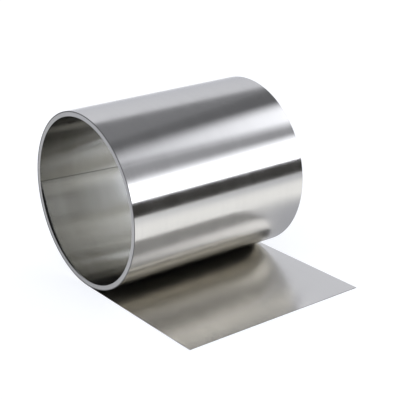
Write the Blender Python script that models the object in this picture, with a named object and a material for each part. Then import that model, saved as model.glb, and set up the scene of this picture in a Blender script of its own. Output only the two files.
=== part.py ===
"""A roll of stainless steel foil: one slit strip wound tight on itself, lying on its side.

The coil's axis runs along X. The strip's outer end is drawn off flat under the coil towards -Y,
and its inner end finishes as a free lap that stands a little off the wall of the bore.
Wound angles start where the strip leaves the floor and run up the +Y side, over the top and down
the -Y side, so a larger angle lies further in. Units are metres and +Z is up.
"""

import math

import bmesh
import bpy

# The strip
STRIP_WIDTH = 0.100
STRIP_THICKNESS = 0.00025
TAIL_LENGTH = 0.0832

# The coil
BORE_DIAMETER = 0.0825
TURNS = 10

# The free lap at the inner end: its widest gap, and how sharply its tip bends back to the wall
LAP_ANGLE = math.radians(85.0)
LAP_STANDOFF = 0.0027
LAP_CURL = 8
TIP_CLEARANCE = 0.0001

# The slit edges: where two turns meet, their bevels make the seam that shows on the coil's ends
BEVEL_ON_FACE = 0.00020
BEVEL_ON_EDGE = 0.00005

# Facets
TURN_SEGMENTS = 72
SHARP_ANGLE = math.radians(25.0)

# Bright rolled stainless steel
STEEL_COLOUR = (0.62, 0.61, 0.59, 1.0)
STEEL_ROUGHNESS = 0.22
STEEL_METALLIC = 1.0

# Places in a section, and the two ends of the coil
OUTWARD, INWARD = 0, 3
SIDES = (-1, 1)

STEP_ANGLE = 2.0 * math.pi / TURN_SEGMENTS
TIGHT_STEPS = round(TURNS * TURN_SEGMENTS)
LAP_STEPS = round(LAP_ANGLE / STEP_ANGLE)
TIP_STEP = TIGHT_STEPS + LAP_STEPS
OUTER_RADIUS = BORE_DIAMETER / 2 + STRIP_THICKNESS * TIGHT_STEPS / TURN_SEGMENTS


def clear_scene():
    """Removes whatever the open file holds."""
    for leftover in list(bpy.data.objects):
        bpy.data.objects.remove(leftover, do_unlink=True)


def lap_standoff(step):
    """How far the free lap stands off the turn behind it, zero at its root."""
    if step <= TIGHT_STEPS:
        return 0.0
    share = (step - TIGHT_STEPS) / LAP_STEPS
    swell = share * (1.0 - share**LAP_CURL)
    widest_share = (1.0 + LAP_CURL) ** (-1.0 / LAP_CURL)
    widest_swell = widest_share * (1.0 - widest_share**LAP_CURL)
    return LAP_STANDOFF * swell / widest_swell + TIP_CLEARANCE * share


def outer_radius(step):
    """The radius of the strip's outward face: a spiral that closes in by one thickness a turn."""
    return OUTER_RADIUS - STRIP_THICKNESS * step / TURN_SEGMENTS - lap_standoff(step)


def inner_radius(step):
    """The radius of the inward face, one thickness in, measured square to the strip."""
    slope = (outer_radius(step + 0.5) - outer_radius(step - 0.5)) / STEP_ANGLE
    return outer_radius(step) - STRIP_THICKNESS * math.hypot(1.0, slope / outer_radius(step))


def coil_reach():
    """How far the coil reaches in +Y from its axis."""
    rising_side = range(TURN_SEGMENTS // 2)
    return max(outer_radius(step) * math.sin(step * STEP_ANGLE) for step in rising_side)


# The origin is under the middle of the whole roll, on the floor
AXIS_Y = (TAIL_LENGTH - coil_reach()) / 2
AXIS_Z = OUTER_RADIUS


def on_coil(step, radius):
    """A point of the coil's profile, as (y, z)."""
    angle = step * STEP_ANGLE
    return (AXIS_Y + radius * math.sin(angle), AXIS_Z - radius * math.cos(angle))


def tail_section():
    """The profile's points at the tail's cut end, from its underside to its top."""
    end_y = AXIS_Y - TAIL_LENGTH
    heights = (0.0, BEVEL_ON_EDGE, STRIP_THICKNESS - BEVEL_ON_EDGE, STRIP_THICKNESS)
    return [(end_y, height) for height in heights]


def coil_section(step):
    """The profile's points across the strip at one step, from its outward face to its inward one."""
    outer = outer_radius(step)
    inner = inner_radius(step)
    radii = (outer, outer - BEVEL_ON_EDGE, inner + BEVEL_ON_EDGE, inner)
    return [on_coil(step, radius) for radius in radii]


def add_section(mesh, points, next_turn=None):
    """Adds the four vertices of a section at each end of the width, as {side: vertices}.

    They run from the outward face's line, across the bevel, land and bevel of the slit edge, to
    the inward face's line. A turn that lies on the next one shares that turn's outward line.
    """
    half_width = STRIP_WIDTH / 2
    reach = (half_width - BEVEL_ON_FACE, half_width, half_width, half_width - BEVEL_ON_FACE)
    section = {}
    for side in SIDES:
        places = [(side * x, y, z) for x, (y, z) in zip(reach, points)]
        if next_turn:
            section[side] = [mesh.verts.new(place) for place in places[:3]] + [next_turn[side][0]]
        else:
            section[side] = [mesh.verts.new(place) for place in places]
    return section


def wind_sections(mesh):
    """The sections of the coil by step, made from the tip of the lap outwards."""
    sections = {}
    for step in reversed(range(TIP_STEP + 1)):
        is_backed = step + TURN_SEGMENTS <= TIGHT_STEPS
        next_turn = sections[step + TURN_SEGMENTS] if is_backed else None
        sections[step] = add_section(mesh, coil_section(step), next_turn)
    return sections


def bridge_edges(mesh, first, second):
    """The two slit edges between two sections: a flat land with a bevel on either side of it."""
    for side in SIDES:
        for place in range(3):
            corners = [
                first[side][place],
                second[side][place],
                second[side][place + 1],
                first[side][place + 1],
            ]
            mesh.faces.new(corners)


def bridge_face(mesh, first, second, place):
    """The strip's face between two sections, at the place of its line in them."""
    mesh.faces.new([first[-1][place], second[-1][place], second[1][place], first[1][place]])


def cap_end(mesh, section):
    """A sheared end of the strip."""
    mesh.faces.new(section[-1] + section[1][::-1])


def build_strip_mesh():
    """The whole strip as one closed mesh, with a face wherever no other turn lies against it."""
    mesh = bmesh.new()
    sections = wind_sections(mesh)
    for step in range(TIP_STEP):
        first, second = sections[step], sections[step + 1]
        bridge_edges(mesh, first, second)
        if step < TURN_SEGMENTS or step >= TIGHT_STEPS:
            bridge_face(mesh, first, second, OUTWARD)
        if step >= TIGHT_STEPS - TURN_SEGMENTS:
            bridge_face(mesh, first, second, INWARD)
    tail = add_section(mesh, tail_section())
    bridge_edges(mesh, tail, sections[0])
    bridge_face(mesh, tail, sections[0], OUTWARD)
    bridge_face(mesh, tail, sections[0], INWARD)
    cap_end(mesh, tail)
    cap_end(mesh, sections[TIP_STEP])
    bmesh.ops.recalc_face_normals(mesh, faces=mesh.faces)
    return mesh


def stainless_steel():
    """Bright rolled stainless steel."""
    material = bpy.data.materials.new("stainless_steel")
    material.use_nodes = True
    shader = material.node_tree.nodes["Principled BSDF"]
    shader.inputs["Base Color"].default_value = STEEL_COLOUR
    shader.inputs["Metallic"].default_value = STEEL_METALLIC
    shader.inputs["Roughness"].default_value = STEEL_ROUGHNESS
    return material


def add_foil_strip():
    """The one piece of the roll."""
    strip_mesh = build_strip_mesh()
    data = bpy.data.meshes.new("foil_strip")
    strip_mesh.to_mesh(data)
    strip_mesh.free()
    data.shade_smooth()
    data.set_sharp_from_angle(angle=SHARP_ANGLE)
    data.materials.append(stainless_steel())
    strip = bpy.data.objects.new("foil_strip", data)
    bpy.context.scene.collection.objects.link(strip)
    return strip


clear_scene()
add_foil_strip()
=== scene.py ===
"""A stainless steel foil roll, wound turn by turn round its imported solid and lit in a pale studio.

The coil's axis runs along X, the flat tail runs towards -Y, and +Z is up. All sizes are in metres.
Turns are counted from the line where the strip leaves the floor, inwards to the free lap's tip.
"""

import math
from itertools import chain

import bmesh
import bpy
from bpy.props import FloatProperty, FloatVectorProperty, IntProperty, PointerProperty
from mathutils import Matrix, Vector


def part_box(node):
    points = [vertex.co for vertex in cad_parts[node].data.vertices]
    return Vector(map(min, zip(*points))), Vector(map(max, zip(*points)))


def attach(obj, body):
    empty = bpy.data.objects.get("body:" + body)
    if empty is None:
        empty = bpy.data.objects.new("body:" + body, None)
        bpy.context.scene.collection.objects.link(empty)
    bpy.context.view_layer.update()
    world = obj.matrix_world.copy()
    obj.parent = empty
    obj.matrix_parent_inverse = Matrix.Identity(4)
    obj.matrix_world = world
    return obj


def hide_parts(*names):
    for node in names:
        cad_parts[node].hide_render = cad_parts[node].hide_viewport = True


bl_info = {
    "name": "Stainless steel foil roll",
    "version": (1, 0, 0),
    "blender": (4, 5, 0),
    "location": "3D View > Sidebar > Foil Roll",
    "description": "Winds a roll of stainless steel foil and sets it in a pale studio",
    "category": "Object",
}

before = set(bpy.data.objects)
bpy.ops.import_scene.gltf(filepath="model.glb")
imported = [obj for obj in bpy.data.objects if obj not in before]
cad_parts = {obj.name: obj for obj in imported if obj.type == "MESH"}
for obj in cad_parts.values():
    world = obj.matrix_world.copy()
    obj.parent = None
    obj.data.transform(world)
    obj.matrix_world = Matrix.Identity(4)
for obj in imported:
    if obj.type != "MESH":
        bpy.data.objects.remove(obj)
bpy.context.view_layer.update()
ROLL_LOW, ROLL_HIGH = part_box("foil_strip")

MILLIMETRE = 0.001
RUN_MAP = "strip_run"
ROLLED_FACE, SHEARED_FACE = 0, 1
OUTER_TURN_LENGTH = math.pi * (ROLL_HIGH.z - ROLL_LOW.z)

# The strip's mesh
TAIL_STEPS = 24
ROLLOVER_PIECES = 4
BURR_PIECES = 2
SHOULDER_SHARE = 4.0
SHARP_ANGLE = math.radians(40.0)
SAME_DEPTH = 1e-9

# The rolled face's lines: their grain across and along the strip, and how far they show
FINE_GRAIN = (0.6 * MILLIMETRE, 600.0 * MILLIMETRE)
FINE_DETAIL = 3.0
FINE_RANGE = (0.30, 0.48)
FINE_BUMP = 0.05
BROAD_GRAIN = (9.0 * MILLIMETRE, 2000.0 * MILLIMETRE)
BROAD_DETAIL = 2.0
BROAD_RANGE = (0.35, 0.65)
ROUGHNESS_SWING = 0.015

# The shear's marks through the foil
SHEAR_GRAIN = (1.0 * MILLIMETRE, 0.4 * MILLIMETRE)
SHEAR_DETAIL = 3.0
SHEAR_BUMP = 0.15
SHEAR_SWING = 0.08
MARK_DEPTH = 0.02 * MILLIMETRE

# Where along the strip its colours change to and from painted shade, in turns past the tail and in
# metres past the coil
BORE_SHADE_TURNS = (1.0, 3.0)
EDGE_SHADE_TURNS = (0.8, 2.8)
LAP_SHADE_REACH = 12.0 * MILLIMETRE

# The photograph's camera
CAMERA_PLACE = (-0.295991, -0.401184, 0.227296)
CAMERA_AZIMUTH = math.radians(-36.809)
CAMERA_ELEVATION = math.radians(20.741)
CAMERA_ROLL = math.radians(-0.848)
CAMERA_LENS = 98.531

# The floor, and how far up the room its horizon's colour fades
FLOOR_SIZE = 16.0
FLOOR_CLEARANCE = 0.05 * MILLIMETRE
HORIZON_FADE = 0.06

# The cards' cool white, the flag's warm black and the bore screen's colours
COOL_WHITE = (0.855, 0.886, 1.0)
WARM_BLACK = (1.0, 0.96, 0.90)
CLEAR = (1.0, 1.0, 1.0)
SCREEN_COLOUR = (0.955, 0.965, 0.955)
SCREEN_TINT = (0.90, 0.94, 1.00)

# The fade at a card's left and right ends, as shares of its length
END_FADE = (0.08, 0.08)

# The front flag and the shade at its foot: places along Y, ends along X, and fades as shares
FLAG_PLACE = -0.230
FLAG_HEIGHT = 0.0790
FLAG_ENDS = (-0.50, 0.70)
FLAG_FADE = (0.02, 0.05)
FOOT_SHADE_PLACE = -0.090
FOOT_SHADE_ENDS = (-0.15, 0.75)
FOOT_SHADE_FADE = (0.55, 0.01)
FOOT_SHADE_END_FADE = (0.44, 0.08)

# Where the shades lie on the floor, how wide and deep they are, and how bright
SHADES = {
    "shade_behind": ((0.060, 0.130), (0.380, 0.320), 0.10),
    "shade_beside": ((0.075, -0.020), (0.110, 0.110), 0.58),
}
SHADE_SOFTNESS = 0.8

# The screen past the bore's far end, and how far it fades in from -Y and from +Y
SCREEN_GAP = 0.002
SCREEN_SEGMENTS = 48
SCREEN_FADE = (0.30, 0.68)


class FoilRollSizes(bpy.types.PropertyGroup):
    """What the strip and its winding measure."""

    strip_width: FloatProperty(
        name="Strip width",
        description="Width of the slit strip, which is the coil's length",
        default=ROLL_HIGH.x - ROLL_LOW.x,
        unit="LENGTH",
    )
    pitch: FloatProperty(
        name="Pitch",
        description="How far the winding closes in on every turn",
        default=0.25 * MILLIMETRE,
        unit="LENGTH",
    )
    thickness: FloatProperty(
        name="Foil thickness",
        description="Thickness of the foil itself, a hair under the pitch",
        default=0.238 * MILLIMETRE,
        unit="LENGTH",
    )
    tail_length: FloatProperty(
        name="Tail length",
        description="Flat foil between the coil's foot and the cut end",
        default=83.2 * MILLIMETRE,
        unit="LENGTH",
    )
    tight_turns: IntProperty(
        name="Tight turns",
        description="Turns wound face to face",
        default=10,
    )
    lap_angle: FloatProperty(
        name="Lap angle",
        description="How far the free lap runs past the last tight turn",
        default=math.radians(85.0),
        subtype="ANGLE",
    )
    lap_standoff: FloatProperty(
        name="Lap stand-off",
        description="Widest gap behind the free lap",
        default=2.7 * MILLIMETRE,
        unit="LENGTH",
    )
    lap_curl: IntProperty(
        name="Lap curl",
        description="How sharply the lap's tip bends back to the wall",
        default=8,
    )
    cut_skew: FloatProperty(
        name="Cut skew",
        description="How far out of square the lap's tip was cut",
        default=math.radians(2.8),
        subtype="ANGLE",
    )
    tip_clearance: FloatProperty(
        name="Tip clearance",
        description="What the lap's tip stays clear of the turn behind it",
        default=0.1 * MILLIMETRE,
        unit="LENGTH",
    )
    loose_gap: FloatProperty(
        name="Loose turn gap",
        description="Gap where one turn was wound a little slack",
        default=0.08 * MILLIMETRE,
        unit="LENGTH",
    )
    loose_turn: FloatProperty(
        name="Loose turn",
        description="Turn at which the slack is taken in",
        default=0.7,
    )
    weave: FloatProperty(
        name="Weave",
        description="How far the turns wander sideways in the coil's ends",
        default=0.04 * MILLIMETRE,
        unit="LENGTH",
    )
    rollover: FloatProperty(
        name="Rollover",
        description="How far the slitter's rounding reaches in from the strip's edge",
        default=0.10 * MILLIMETRE,
        unit="LENGTH",
    )
    rollover_depth: FloatProperty(
        name="Rollover depth",
        description="How deep that rounding goes through the foil",
        default=0.06 * MILLIMETRE,
        unit="LENGTH",
    )
    burr_rounding: FloatProperty(
        name="Burr rounding",
        description="Small rounding left on the slit edge's other corner",
        default=0.03 * MILLIMETRE,
        unit="LENGTH",
    )
    steps_per_turn: IntProperty(
        name="Steps per turn",
        description="Facets in one turn",
        default=240,
    )


class SteelFinish(bpy.types.PropertyGroup):
    """How the rolled steel looks."""

    colour: FloatVectorProperty(
        name="Steel",
        description="Colour of the bright rolled face",
        default=(0.729, 0.708, 0.655),
        subtype="COLOR",
        size=3,
    )
    line_colour: FloatVectorProperty(
        name="Rolling lines",
        description="Colour of the faint lines along the strip",
        default=(0.709, 0.688, 0.636),
        subtype="COLOR",
        size=3,
    )
    # Painted shade: the steel is darkened on the inner turns to stand for the shade inside the bore.
    bore_shade_colour: FloatVectorProperty(
        name="Steel in the bore",
        description="Colour of the rolled face on the inner turns, darker than outside",
        default=(0.520, 0.510, 0.476),
        subtype="COLOR",
        size=3,
    )
    # Partly the shear's own dull tone and partly painted shade from the burrs and the gaps between the
    # turns' edges.
    edge_colour: FloatVectorProperty(
        name="Slit edge",
        description="Colour of the sheared edges",
        default=(0.430, 0.425, 0.420),
        subtype="COLOR",
        size=3,
    )
    # Painted shade: the slit edge of the outermost turn is made nearly black to stand for the dark
    # line of shade along the coil's outer rim.
    outer_edge_shade: FloatVectorProperty(
        name="Outer slit edge",
        description="Colour of the sheared edge on the outermost turn, which is shaded most",
        default=(0.110, 0.108, 0.106),
        subtype="COLOR",
        size=3,
    )
    # Painted shade: the free lap's slit edge is made nearly black to stand for the shade in the gap
    # behind the lap.
    lap_edge_shade: FloatVectorProperty(
        name="Lap's slit edge",
        description="Colour of the sheared edge on the free lap",
        default=(0.080, 0.080, 0.080),
        subtype="COLOR",
        size=3,
    )
    grazing: FloatProperty(
        name="Grazing reflectance",
        description="How bright reflections stay at grazing angles, as a share of a perfect mirror",
        default=0.80,
    )
    roughness: FloatProperty(
        name="Roughness",
        description="Roughness of the rolled face",
        default=0.17,
    )
    grain: FloatProperty(
        name="Grain",
        description="How much the rolling lines spread reflections across the strip",
        default=0.92,
    )
    edge_roughness: FloatProperty(
        name="Edge roughness",
        description="Roughness of the sheared edges",
        default=0.34,
    )


class StudioLevels(bpy.types.PropertyGroup):
    """Brightness of what surrounds the roll. White is one."""

    floor_colour: FloatVectorProperty(
        name="Floor",
        description="Colour of the pale floor",
        default=(0.470, 0.455, 0.420),
        subtype="COLOR",
        size=3,
    )
    floor_lift: FloatVectorProperty(
        name="Floor lift",
        description="What the floor shows by itself, so that its shadows stay light",
        default=(0.690, 0.710, 0.750),
        subtype="COLOR",
        size=3,
    )
    room_colour: FloatVectorProperty(
        name="Room",
        description="Colour of the pale room above the floor",
        default=(0.778, 0.803, 0.902),
        subtype="COLOR",
        size=3,
    )
    horizon_colour: FloatVectorProperty(
        name="Horizon",
        description="Colour of the room where it meets the floor",
        default=(0.84, 0.87, 0.98),
        subtype="COLOR",
        size=3,
    )
    overhead_level: FloatProperty(
        name="Overhead card",
        description="Brightness of the grey card above the roll",
        default=0.265,
    )
    border_level: FloatProperty(
        name="Dark border",
        description="Brightness of the dark border round the top light",
        default=0.165,
    )
    top_light_level: FloatProperty(
        name="Top light",
        description="Brightness of the diffused light above the roll",
        default=2.60,
    )
    gap_level: FloatProperty(
        name="Gap card",
        description="Brightness of the card between the two lights",
        default=0.42,
    )
    front_light_level: FloatProperty(
        name="Front light",
        description="Brightness of the long diffused light in front of the roll",
        default=2.8,
    )
    flag_level: FloatProperty(
        name="Front flag",
        description="Brightness of the black flag standing in front of the roll",
        default=0.035,
    )
    foot_shade_level: FloatProperty(
        name="Shade at the flag's foot",
        description="Brightness of the shade that lies on the floor before the front flag",
        default=0.68,
    )
    screen_level: FloatProperty(
        name="Bore screen",
        description="Brightness of the thin screen that hangs past the bore's far end",
        default=4.6,
    )
    screen_share: FloatProperty(
        name="Bore screen cover",
        description="How much of what lies past the bore that screen hides",
        default=0.20,
    )


def roll_settings():
    """The scene's sizes, finish and levels."""
    scene = bpy.context.scene
    return scene.foil_roll_sizes, scene.foil_roll_finish, scene.foil_roll_levels


def smooth_step(share):
    """Rises softly from nought to one."""
    share = min(max(share, 0.0), 1.0)
    return share * share * (3.0 - 2.0 * share)


class Winding:
    """Where the strip runs: flat along the floor, then round the coil and into the free lap."""

    LOOSE_SPAN = 0.3
    INSIDE_BOX = 0.01 * MILLIMETRE
    NUDGE = 0.001
    # The waves of the turns' wander: how many come in a turn, where each starts, and its share
    WANDER_WAVES = ((0.37, 0.6, 0.6), (1.21, 2.0, 0.4))

    def __init__(self, sizes):
        self.sizes = sizes
        height = ROLL_HIGH.z - ROLL_LOW.z
        self.outer_radius = (height + sizes.pitch / 2) / 2 - self.INSIDE_BOX
        self.axis_y = ROLL_LOW.y + sizes.tail_length
        self.axis_z = ROLL_LOW.z + self.outer_radius
        self.tip_turn = sizes.tight_turns + sizes.lap_angle / math.tau
        slack = (sizes.pitch - sizes.thickness) * sizes.tight_turns
        self.hair_gap = (slack - sizes.loose_gap) / sizes.tight_turns
        self.bore_radius = self.outer_radius - sizes.pitch * sizes.tight_turns
        self.skew_turns = math.tan(sizes.cut_skew) / (math.tau * self.outer_radius)
        self.coil_end = sizes.tail_length + math.tau * sizes.tight_turns * (
            self.outer_radius - sizes.pitch * sizes.tight_turns / 2
        )

    def lap_share(self, turn):
        """How far along the free lap a turn lies, from its root to its tip."""
        return max(0.0, (turn - self.sizes.tight_turns) / (self.tip_turn - self.sizes.tight_turns))

    def standoff(self, turn):
        """How far the free lap stands off the turn behind it."""
        curl = self.sizes.lap_curl
        share = min(self.lap_share(turn), 1.0)
        swell = share * (1.0 - share**curl)
        widest_share = (1.0 + curl) ** (-1.0 / curl)
        widest_swell = widest_share * (1.0 - widest_share**curl)
        return self.sizes.lap_standoff * swell / widest_swell + self.sizes.tip_clearance * share

    def on_face(self, turn, x=0.0):
        """A point of the outward face's profile, as (y, z). The lap's skewed cut leads at -X."""
        sizes = self.sizes
        turn_here = turn - x * self.skew_turns * self.lap_share(turn)
        slack = sizes.loose_gap * smooth_step((turn - sizes.loose_turn) / self.LOOSE_SPAN)
        closed_in = (sizes.thickness + self.hair_gap) * turn_here + slack
        radius = self.outer_radius - closed_in - self.standoff(turn)
        angle = turn_here * math.tau
        return Vector((self.axis_y + radius * math.sin(angle), self.axis_z - radius * math.cos(angle)))

    def inward(self, turn, x=0.0):
        """The direction through the foil there, from its outward to its inward face."""
        run = self.on_face(turn + self.NUDGE, x) - self.on_face(turn - self.NUDGE, x)
        return Vector((-run.y, run.x)).normalized()

    def sideways(self, turn):
        """How far the turns have wandered along X there."""
        wander = 0.0
        for rate, start, share in self.WANDER_WAVES:
            wander += share * math.sin(math.tau * rate * turn + start)
        return self.sizes.weave * wander * smooth_step(turn)


def quarter_arc(reach, depth, pieces):
    """Points of a rounded corner, as (inset from the edge, depth), without its two ends."""
    points = []
    for index in range(1, pieces):
        angle = math.pi / 2 * index / pieces
        points.append((reach * (1.0 - math.sin(angle)), depth * (1.0 - math.cos(angle))))
    return points


def slit_edge_profile(sizes):
    """One slit edge from the outward to the inward face, as (inset from the edge, depth) pairs."""
    shoulder = SHOULDER_SHARE * sizes.rollover
    rounding = quarter_arc(sizes.rollover, sizes.rollover_depth, ROLLOVER_PIECES)
    burr = quarter_arc(sizes.burr_rounding, sizes.burr_rounding, BURR_PIECES)
    upper = [(shoulder, 0.0), (sizes.rollover, 0.0)] + rounding + [(0.0, sizes.rollover_depth)]
    lower = [(shoulder, 0.0), (sizes.burr_rounding, 0.0)] + burr + [(0.0, sizes.burr_rounding)]
    return upper + [(inset, sizes.thickness - depth) for inset, depth in reversed(lower)]


def section_outline(sizes):
    """The strip's whole cross section as (x, depth) pairs, round from the outward face at +X."""
    half_width = sizes.strip_width / 2 - sizes.weave
    edge = slit_edge_profile(sizes)
    near_side = [(half_width - inset, depth) for inset, depth in edge]
    far_side = [(inset - half_width, depth) for inset, depth in reversed(edge)]
    return near_side + far_side


def distances_round(outline):
    """How far round the section each corner lies, with the whole way round as the last value."""
    distances = [0.0]
    for (x1, d1), (x2, d2) in zip(outline, outline[1:] + outline[:1]):
        distances.append(distances[-1] + math.hypot(x2 - x1, d2 - d1))
    return distances


def tail_rings(sizes, outline):
    """Rings of corners along the flat tail from its cut end, each with its distance."""
    for step in range(TAIL_STEPS):
        distance = sizes.tail_length * step / TAIL_STEPS
        y = ROLL_LOW.y + distance
        yield distance, [(x, y, ROLL_LOW.z + depth) for x, depth in outline]


def coil_rings(sizes, outline):
    """Rings of corners round the coil to the lap's tip, each with its distance from the cut end."""
    winding = Winding(sizes)
    distance = sizes.tail_length
    last_point = winding.on_face(0.0)
    steps = round(winding.tip_turn * sizes.steps_per_turn)
    for step in range(steps + 1):
        turn = winding.tip_turn * step / steps
        distance += (winding.on_face(turn) - last_point).length
        last_point = winding.on_face(turn)
        sideways = winding.sideways(turn)
        ring = []
        for x, depth in outline:
            place = winding.on_face(turn, x) + winding.inward(turn, x) * depth
            ring.append((x + sideways, place.x, place.y))
        yield distance, ring


def wind_strip_mesh(sizes):
    """The strip as one closed mesh, with a map of how far along and round it each corner lies."""
    outline = section_outline(sizes)
    across = distances_round(outline)
    mesh = bmesh.new()
    run_map = mesh.loops.layers.uv.new(RUN_MAP)
    last_ring = None
    last_distance = 0.0
    corners = len(outline)
    for distance, places in chain(tail_rings(sizes, outline), coil_rings(sizes, outline)):
        ring = [mesh.verts.new(place) for place in places]
        if last_ring is None:
            cap_cut_end(mesh, ring, run_map, distance)
        else:
            for index in range(corners):
                following = (index + 1) % corners
                face = mesh.faces.new(
                    (last_ring[index], last_ring[following], ring[following], ring[index])
                )
                is_rolled = is_rolled_face(outline, index)
                face.material_index = ROLLED_FACE if is_rolled else SHEARED_FACE
                map_places = (
                    (across[index], last_distance),
                    (across[index + 1], last_distance),
                    (across[index + 1], distance),
                    (across[index], distance),
                )
                for loop, place in zip(face.loops, map_places):
                    loop[run_map].uv = place
        last_ring, last_distance = ring, distance
    cap_cut_end(mesh, last_ring[::-1], run_map, last_distance)
    bmesh.ops.recalc_face_normals(mesh, faces=mesh.faces)
    return mesh


def is_rolled_face(outline, index):
    """True where a side of the section is part of the foil's two rolled faces."""
    following = (index + 1) % len(outline)
    return abs(outline[index][1] - outline[following][1]) < SAME_DEPTH


def cap_cut_end(mesh, ring, run_map, distance):
    """Closes a sheared end of the strip."""
    face = mesh.faces.new(ring[::-1])
    face.material_index = SHEARED_FACE
    for loop in face.loops:
        loop[run_map].uv = (loop.vert.co.x, distance + loop.vert.co.z)


def new_material(name):
    """A material with an empty node tree, and its output node."""
    material = bpy.data.materials.new(name)
    material.use_nodes = True
    nodes = material.node_tree.nodes
    nodes.clear()
    return material, nodes, material.node_tree.links, nodes.new("ShaderNodeOutputMaterial")


def run_noise(nodes, links, run, grain, detail):
    """Noise that is drawn out along the strip, with its grain's size across and along it."""
    across, along = grain
    stretch = nodes.new("ShaderNodeMapping")
    stretch.inputs["Scale"].default_value = (1.0 / across, 1.0 / along, 1.0)
    noise = nodes.new("ShaderNodeTexNoise")
    noise.noise_dimensions = "2D"
    noise.inputs["Scale"].default_value = 1.0
    noise.inputs["Detail"].default_value = detail
    links.new(run, stretch.inputs["Vector"])
    links.new(stretch.outputs["Vector"], noise.inputs["Vector"])
    return noise.outputs["Fac"]


def rgba(colour):
    """A colour with its alpha."""
    return (*colour, 1.0)


def map_range(nodes, links, value, source, target=(0.0, 1.0), is_soft=False):
    """A value moved from one range to another."""
    moved = nodes.new("ShaderNodeMapRange")
    if is_soft:
        moved.interpolation_type = "SMOOTHSTEP"
    moved.inputs["From Min"].default_value, moved.inputs["From Max"].default_value = source
    moved.inputs["To Min"].default_value, moved.inputs["To Max"].default_value = target
    links.new(value, moved.inputs["Value"])
    return moved.outputs["Result"]


def mathematics(nodes, links, operation, *values):
    """The result of one operation on values that are numbers or other nodes' outputs."""
    node = nodes.new("ShaderNodeMath")
    node.operation = operation
    for place, value in zip(node.inputs, values):
        if isinstance(value, float):
            place.default_value = value
        else:
            links.new(value, place)
    return node.outputs["Value"]


def split_place(nodes, links, place):
    """The X, Y and Z of a place."""
    split = nodes.new("ShaderNodeSeparateXYZ")
    links.new(place, split.inputs["Vector"])
    return split.outputs["X"], split.outputs["Y"], split.outputs["Z"]


def place_on_card(nodes, links):
    """Where on a card a point lies, as shares of its width and depth."""
    place = nodes.new("ShaderNodeTexCoord")
    return split_place(nodes, links, place.outputs["Generated"])


def bumped_normal(nodes, links, height, strength):
    """The normal of fine marks on the steel."""
    bump = nodes.new("ShaderNodeBump")
    bump.inputs["Strength"].default_value = strength
    bump.inputs["Distance"].default_value = MARK_DEPTH
    links.new(height, bump.inputs["Height"])
    return bump.outputs["Normal"]


def change_along(nodes, links, place, span, first, second):
    """A colour that changes softly from the first to the second over a span of places."""
    share = map_range(nodes, links, place, span, is_soft=True)
    return mix_colours(nodes, links, share, first, second)


def mix_colours(nodes, links, share, first, second):
    """A share of the second colour in the first, which is a colour or another node's output."""
    colour = nodes.new("ShaderNodeMix")
    colour.data_type = "RGBA"
    if isinstance(first, tuple):
        colour.inputs["A"].default_value = first
    else:
        links.new(first, colour.inputs["A"])
    colour.inputs["B"].default_value = second
    links.new(share, colour.inputs["Factor"])
    return colour.outputs["Result"]


def past_tail(sizes, turns):
    """How far from the strip's cut end the outer turns of the coil reach."""
    return [sizes.tail_length + turn * OUTER_TURN_LENGTH for turn in turns]


def rolled_steel(finish, sizes):
    """Bright rolled foil: mirror-like along the strip, softly spread across it, and darkened on the
    inner turns as painted shade for the bore.
    """
    material, nodes, links, output = new_material("rolled_steel")
    shader = nodes.new("ShaderNodeBsdfPrincipled")
    run = nodes.new("ShaderNodeUVMap")
    run.uv_map = RUN_MAP
    fine_lines = run_noise(nodes, links, run.outputs["UV"], FINE_GRAIN, FINE_DETAIL)
    broad_lines = run_noise(nodes, links, run.outputs["UV"], BROAD_GRAIN, BROAD_DETAIL)
    _, distance, _ = split_place(nodes, links, run.outputs["UV"])

    line_share = map_range(nodes, links, fine_lines, FINE_RANGE)
    outer_colour = mix_colours(
        nodes, links, line_share, rgba(finish.line_colour), rgba(finish.colour)
    )
    colour = change_along(
        nodes, links, distance, past_tail(sizes, BORE_SHADE_TURNS),
        outer_colour, rgba(finish.bore_shade_colour),
    )
    links.new(colour, shader.inputs["Base Color"])

    swing = (finish.roughness - ROUGHNESS_SWING, finish.roughness + ROUGHNESS_SWING)
    roughness = map_range(nodes, links, broad_lines, BROAD_RANGE, swing)
    links.new(roughness, shader.inputs["Roughness"])
    links.new(bumped_normal(nodes, links, fine_lines, FINE_BUMP), shader.inputs["Normal"])

    tangent = nodes.new("ShaderNodeTangent")
    tangent.direction_type = "UV_MAP"
    tangent.uv_map = RUN_MAP
    links.new(tangent.outputs["Tangent"], shader.inputs["Tangent"])
    shader.inputs["Metallic"].default_value = 1.0
    grazing = (finish.grazing, finish.grazing, finish.grazing)
    shader.inputs["Specular Tint"].default_value = rgba(grazing)
    shader.inputs["Anisotropic"].default_value = finish.grain
    links.new(shader.outputs["BSDF"], output.inputs["Surface"])
    return material


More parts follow.
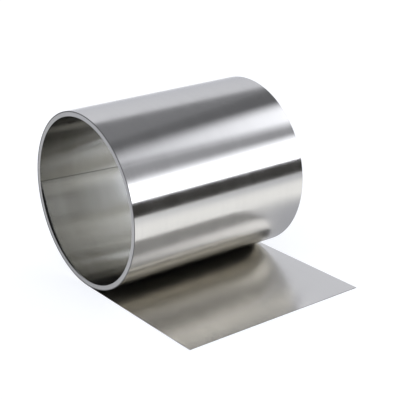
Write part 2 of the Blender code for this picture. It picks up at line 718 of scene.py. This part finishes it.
def slit_edge_steel(finish, sizes):
    """The sheared edges: the same steel, duller and partly darkened as painted shade, with the shear's
    fine marks through the foil; the painted shade is deepest on the outermost turn and on the free
    lap.
    """
    material, nodes, links, output = new_material("slit_edge_steel")
    shader = nodes.new("ShaderNodeBsdfPrincipled")
    run = nodes.new("ShaderNodeUVMap")
    run.uv_map = RUN_MAP
    marks = run_noise(nodes, links, run.outputs["UV"], SHEAR_GRAIN, SHEAR_DETAIL)
    _, distance, _ = split_place(nodes, links, run.outputs["UV"])

    swing = (finish.edge_roughness - SHEAR_SWING, finish.edge_roughness + SHEAR_SWING)
    roughness = map_range(nodes, links, marks, (0.0, 1.0), swing)
    links.new(roughness, shader.inputs["Roughness"])
    links.new(bumped_normal(nodes, links, marks, SHEAR_BUMP), shader.inputs["Normal"])

    # Painted shade: the edge is darkest on the outermost turn and lightens inwards to the plain edge
    # colour.
    coil_colour = change_along(
        nodes, links, distance, past_tail(sizes, EDGE_SHADE_TURNS),
        rgba(finish.outer_edge_shade), rgba(finish.edge_colour),
    )
    # Painted shade: past the coil's end the lap's edge turns nearly black.
    coil_end = Winding(sizes).coil_end
    colour = change_along(
        nodes, links, distance, (coil_end, coil_end + LAP_SHADE_REACH),
        coil_colour, rgba(finish.lap_edge_shade),
    )
    links.new(colour, shader.inputs["Base Color"])
    shader.inputs["Metallic"].default_value = 1.0
    links.new(shader.outputs["BSDF"], output.inputs["Surface"])
    return material


def link_object(name, mesh):
    """A new object in the scene from a bmesh, which it frees."""
    data = bpy.data.meshes.new(name)
    mesh.to_mesh(data)
    mesh.free()
    made = bpy.data.objects.new(name, data)
    bpy.context.scene.collection.objects.link(made)
    return made


class FOILROLL_OT_wind_strip(bpy.types.Operator):
    """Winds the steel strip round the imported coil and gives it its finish"""

    bl_idname = "foilroll.wind_strip"
    bl_label = "Wind the strip"

    def execute(self, context):
        sizes, finish, _ = roll_settings()
        strip = link_object("wound_strip", wind_strip_mesh(sizes))
        strip.data.shade_smooth()
        strip.data.set_sharp_from_angle(angle=SHARP_ANGLE)
        strip.data.materials.append(rolled_steel(finish, sizes))
        strip.data.materials.append(slit_edge_steel(finish, sizes))
        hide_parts("foil_strip")
        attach(strip, "root")
        return {"FINISHED"}


def flat_mesh(width, depth):
    """A plain rectangle round its own middle."""
    mesh = bmesh.new()
    x, y = width / 2, depth / 2
    corners = ((-x, -y, 0.0), (x, -y, 0.0), (x, y, 0.0), (-x, y, 0.0))
    mesh.faces.new([mesh.verts.new(corner) for corner in corners])
    return mesh


def pale_floor_material(levels):
    """A pale matt floor that shows some white of its own, so that its shadows stay light."""
    material, nodes, links, output = new_material("pale_floor")
    matt = nodes.new("ShaderNodeBsdfDiffuse")
    matt.inputs["Color"].default_value = rgba(levels.floor_colour)
    white = nodes.new("ShaderNodeEmission")
    white.inputs["Color"].default_value = rgba(levels.floor_lift)
    rays = nodes.new("ShaderNodeLightPath")
    is_camera, is_glossy = rays.outputs["Is Camera Ray"], rays.outputs["Is Glossy Ray"]
    seen = mathematics(nodes, links, "MAXIMUM", is_camera, is_glossy)
    is_transmission = rays.outputs["Is Transmission Ray"]
    seen_through = mathematics(nodes, links, "MAXIMUM", seen, is_transmission)
    links.new(seen_through, white.inputs["Strength"])
    both = nodes.new("ShaderNodeAddShader")
    links.new(matt.outputs["BSDF"], both.inputs[0])
    links.new(white.outputs["Emission"], both.inputs[1])
    links.new(both.outputs["Shader"], output.inputs["Surface"])
    return material


def add_floor(levels):
    """The pale floor under the roll."""
    floor = link_object("pale_floor", flat_mesh(FLOOR_SIZE, FLOOR_SIZE))
    floor.location.z = ROLL_LOW.z - FLOOR_CLEARANCE
    floor.data.materials.append(pale_floor_material(levels))


def add_room(levels):
    """The pale room: white where it meets the floor, and a light grey further up."""
    world = bpy.data.worlds.new("pale_room")
    bpy.context.scene.world = world
    world.use_nodes = True
    nodes = world.node_tree.nodes
    links = world.node_tree.links
    nodes.clear()
    output = nodes.new("ShaderNodeOutputWorld")
    room = nodes.new("ShaderNodeBackground")
    direction = nodes.new("ShaderNodeTexCoord")
    _, _, height = split_place(nodes, links, direction.outputs["Generated"])
    colour = change_along(
        nodes, links, height, (0.0, HORIZON_FADE),
        rgba(levels.horizon_colour), rgba(levels.room_colour),
    )
    links.new(colour, room.inputs["Color"])
    links.new(room.outputs["Background"], output.inputs["Surface"])


def soft_edge(nodes, links, places, start_width, end_width):
    """A mask that is one in the middle of a card and fades out over a share of it at each end.

    Each end measures the card by its own place, so that one end can lean.
    """
    start, end = places
    fade_in = map_range(nodes, links, start, (0.0, start_width), is_soft=True)
    fade_out = map_range(nodes, links, end, (1.0, 1.0 - end_width), is_soft=True)
    return mathematics(nodes, links, "MULTIPLY", fade_in, fade_out)


def veil_material(name, colour, level, tint=CLEAR):
    """A glow laid over a clear card, and the socket that says how much of the card it covers."""
    material, nodes, links, output = new_material(name)
    glow = nodes.new("ShaderNodeEmission")
    glow.inputs["Color"].default_value = rgba(colour)
    glow.inputs["Strength"].default_value = level
    clear = nodes.new("ShaderNodeBsdfTransparent")
    clear.inputs["Color"].default_value = rgba(tint)
    mix = nodes.new("ShaderNodeMixShader")
    links.new(clear.outputs["BSDF"], mix.inputs[1])
    links.new(glow.outputs["Emission"], mix.inputs[2])
    links.new(mix.outputs["Shader"], output.inputs["Surface"])
    return material, nodes, links, mix.inputs["Fac"]


def card_material(name, colour, level, fade, end_fade=END_FADE, lean=0.0):
    """A glowing card or a dark flag with soft edges, as shares: (upper, lower) and (left, right).

    The upper edge leans by a share of the card's height over its length, higher on the right.
    """
    material, nodes, links, cover = veil_material(name, colour, level)
    across, up, _ = place_on_card(nodes, links)
    from_middle = mathematics(nodes, links, "SUBTRACT", 0.5, across)
    leaning = mathematics(nodes, links, "MULTIPLY_ADD", from_middle, lean, up)
    upper, lower = fade
    height_mask = soft_edge(nodes, links, (up, leaning), lower, upper)
    length_mask = soft_edge(nodes, links, (across, across), *end_fade)
    mask = mathematics(nodes, links, "MULTIPLY", height_mask, length_mask)
    links.new(mask, cover)
    return material


def hide_from_view(card):
    """The card shows only in the steel's reflections."""
    card.visible_camera = False
    card.visible_diffuse = False
    card.visible_shadow = False


def add_card(name, level, angles, distance, ends, fade, end_fade=END_FADE, lean=0.0):
    """A long card parallel to the coil, between two angles seen from it: 0 is up and 90 is -Y."""
    winding = Winding(roll_settings()[0])
    start_angle, end_angle = angles
    middle = math.radians((start_angle + end_angle) / 2)
    spread = math.radians(end_angle - start_angle)
    height = 2.0 * distance * math.tan(spread / 2)
    card = link_object(name, flat_mesh(ends[1] - ends[0], height))
    card.location = (
        sum(ends) / 2,
        winding.axis_y - distance * math.sin(middle),
        winding.axis_z + distance * math.cos(middle),
    )
    card.rotation_euler.x = middle
    card.data.materials.append(card_material(name, COOL_WHITE, level, fade, end_fade, lean))
    hide_from_view(card)


def add_front_flag(levels):
    """The black flag that stands on the floor in front of the roll, and the shade at its foot."""
    width = FLAG_ENDS[1] - FLAG_ENDS[0]
    flag = link_object("front_flag", flat_mesh(width, FLAG_HEIGHT))
    flag.location = (sum(FLAG_ENDS) / 2, FLAG_PLACE, FLAG_HEIGHT / 2)
    flag.rotation_euler.x = math.radians(90.0)
    dark = card_material("front_flag", WARM_BLACK, levels.flag_level, FLAG_FADE)
    flag.data.materials.append(dark)
    hide_from_view(flag)

    depth = FOOT_SHADE_PLACE - FLAG_PLACE
    length = FOOT_SHADE_ENDS[1] - FOOT_SHADE_ENDS[0]
    shade = link_object("foot_shade", flat_mesh(length, depth))
    shade.location = (
        sum(FOOT_SHADE_ENDS) / 2,
        (FOOT_SHADE_PLACE + FLAG_PLACE) / 2,
        ROLL_LOW.z - FLOOR_CLEARANCE / 2,
    )
    grey = card_material(
        "foot_shade", COOL_WHITE, levels.foot_shade_level, FOOT_SHADE_FADE, FOOT_SHADE_END_FADE
    )
    shade.data.materials.append(grey)
    hide_from_view(shade)


def soft_pool(nodes, links, softness):
    """A mask that is one in the middle of a card and fades out to an oval within it."""
    place = nodes.new("ShaderNodeTexCoord")
    centre = nodes.new("ShaderNodeMapping")
    centre.inputs["Location"].default_value = (-1.0, -1.0, 0.0)
    centre.inputs["Scale"].default_value = (2.0, 2.0, 0.0)
    ball = nodes.new("ShaderNodeTexGradient")
    ball.gradient_type = "SPHERICAL"
    links.new(place.outputs["Generated"], centre.inputs["Vector"])
    links.new(centre.outputs["Vector"], ball.inputs["Vector"])
    return map_range(nodes, links, ball.outputs["Fac"], (0.0, softness), is_soft=True)


def add_floor_shade(name):
    """One of the soft shades that lie on the floor round the coil, seen in the steel only."""
    place, size, level = SHADES[name]
    shade = link_object(name, flat_mesh(*size))
    shade.location = (*place, ROLL_LOW.z - FLOOR_CLEARANCE / 2)
    material, nodes, links, cover = veil_material(name, COOL_WHITE, level)
    links.new(soft_pool(nodes, links, SHADE_SOFTNESS), cover)
    shade.data.materials.append(material)
    hide_from_view(shade)


def add_bore_screen(levels):
    """The thin screen past the coil's far end, seen only in the steel, through the bore."""
    winding = Winding(roll_settings()[0])
    mesh = bmesh.new()
    bmesh.ops.create_circle(mesh, cap_ends=True, radius=winding.bore_radius, segments=SCREEN_SEGMENTS)
    screen = link_object("bore_screen", mesh)
    screen.location = (ROLL_HIGH.x + SCREEN_GAP, winding.axis_y, winding.axis_z)
    screen.rotation_euler.y = math.radians(90.0)
    material, nodes, links, cover = veil_material(
        "bore_screen", SCREEN_COLOUR, levels.screen_level, SCREEN_TINT
    )
    _, across, _ = place_on_card(nodes, links)
    mask = soft_edge(nodes, links, (across, across), *SCREEN_FADE)
    links.new(mathematics(nodes, links, "MULTIPLY", mask, levels.screen_share), cover)
    screen.data.materials.append(material)
    hide_from_view(screen)


def add_lights(levels):
    """The two long lights, and the dark cards between and beyond them."""
    add_card(
        "overhead_card", levels.overhead_level, angles=(-35.0, 39.0), distance=0.36,
        ends=(-0.40, 0.90), fade=(0.16, 0.05),
    )
    add_card(
        "dark_border", levels.border_level, angles=(-33.0, 39.0), distance=0.33,
        ends=(-0.19, 1.00), fade=(0.10, 0.05), lean=2.06,
    )
    add_card(
        "top_light", levels.top_light_level, angles=(-2.0, 43.5), distance=0.30,
        ends=(-0.11, 0.69), fade=(0.40, 0.31), end_fade=(0.82, 0.15), lean=1.6,
    )
    add_card(
        "gap_card", levels.gap_level, angles=(29.5, 62.0), distance=1.4,
        ends=(-0.60, 2.60), fade=(0.10, 0.10),
    )
    add_card(
        "front_light", levels.front_light_level, angles=(48.1, 86.7), distance=1.3,
        ends=(-0.50, 2.60), fade=(0.43, 0.02), lean=1.1,
    )


def add_camera():
    """The camera at the photograph's place and angle."""
    lens = bpy.data.cameras.new("camera")
    lens.lens = CAMERA_LENS
    camera = bpy.data.objects.new("camera", lens)
    aim = (
        Matrix.Rotation(CAMERA_AZIMUTH, 4, "Z")
        @ Matrix.Rotation(math.pi / 2 - CAMERA_ELEVATION, 4, "X")
        @ Matrix.Rotation(CAMERA_ROLL, 4, "Z")
    )
    camera.matrix_world = Matrix.Translation(CAMERA_PLACE) @ aim
    bpy.context.scene.collection.objects.link(camera)
    bpy.context.scene.camera = camera


class FOILROLL_OT_set_studio(bpy.types.Operator):
    """Sets the pale floor, the room, the lights and the camera round the roll"""

    bl_idname = "foilroll.set_studio"
    bl_label = "Set the studio"

    def execute(self, context):
        levels = roll_settings()[2]
        add_floor(levels)
        add_room(levels)
        add_lights(levels)
        add_front_flag(levels)
        for name in SHADES:
            add_floor_shade(name)
        add_bore_screen(levels)
        add_camera()
        context.scene.view_settings.view_transform = "Standard"
        return {"FINISHED"}


class FOILROLL_PT_sidebar(bpy.types.Panel):
    """The foil roll's sizes, finish and studio"""

    bl_label = "Foil Roll"
    bl_idname = "FOILROLL_PT_sidebar"
    bl_space_type = "VIEW_3D"
    bl_region_type = "UI"
    bl_category = "Foil Roll"

    def draw(self, context):
        for settings in roll_settings():
            box = self.layout.box()
            for name in settings.bl_rna.properties.keys():
                if name not in ("rna_type", "name"):
                    box.prop(settings, name)
        for operator in OPERATORS:
            self.layout.operator(operator.bl_idname)


SETTINGS = {
    "foil_roll_sizes": FoilRollSizes,
    "foil_roll_finish": SteelFinish,
    "foil_roll_levels": StudioLevels,
}
OPERATORS = (FOILROLL_OT_wind_strip, FOILROLL_OT_set_studio)


def register():
    """Adds the settings, the operators and the panel."""
    for name, settings in SETTINGS.items():
        bpy.utils.register_class(settings)
        setattr(bpy.types.Scene, name, PointerProperty(type=settings))
    for operator in OPERATORS:
        bpy.utils.register_class(operator)
    bpy.utils.register_class(FOILROLL_PT_sidebar)


def unregister():
    """Takes the settings, the operators and the panel out again."""
    bpy.utils.unregister_class(FOILROLL_PT_sidebar)
    for operator in reversed(OPERATORS):
        bpy.utils.unregister_class(operator)
    for name, settings in reversed(SETTINGS.items()):
        delattr(bpy.types.Scene, name)
        bpy.utils.unregister_class(settings)


def main():
    """Makes the roll and its studio."""
    register()
    bpy.ops.foilroll.wind_strip()
    bpy.ops.foilroll.set_studio()


if __name__ == "__main__":
    main()
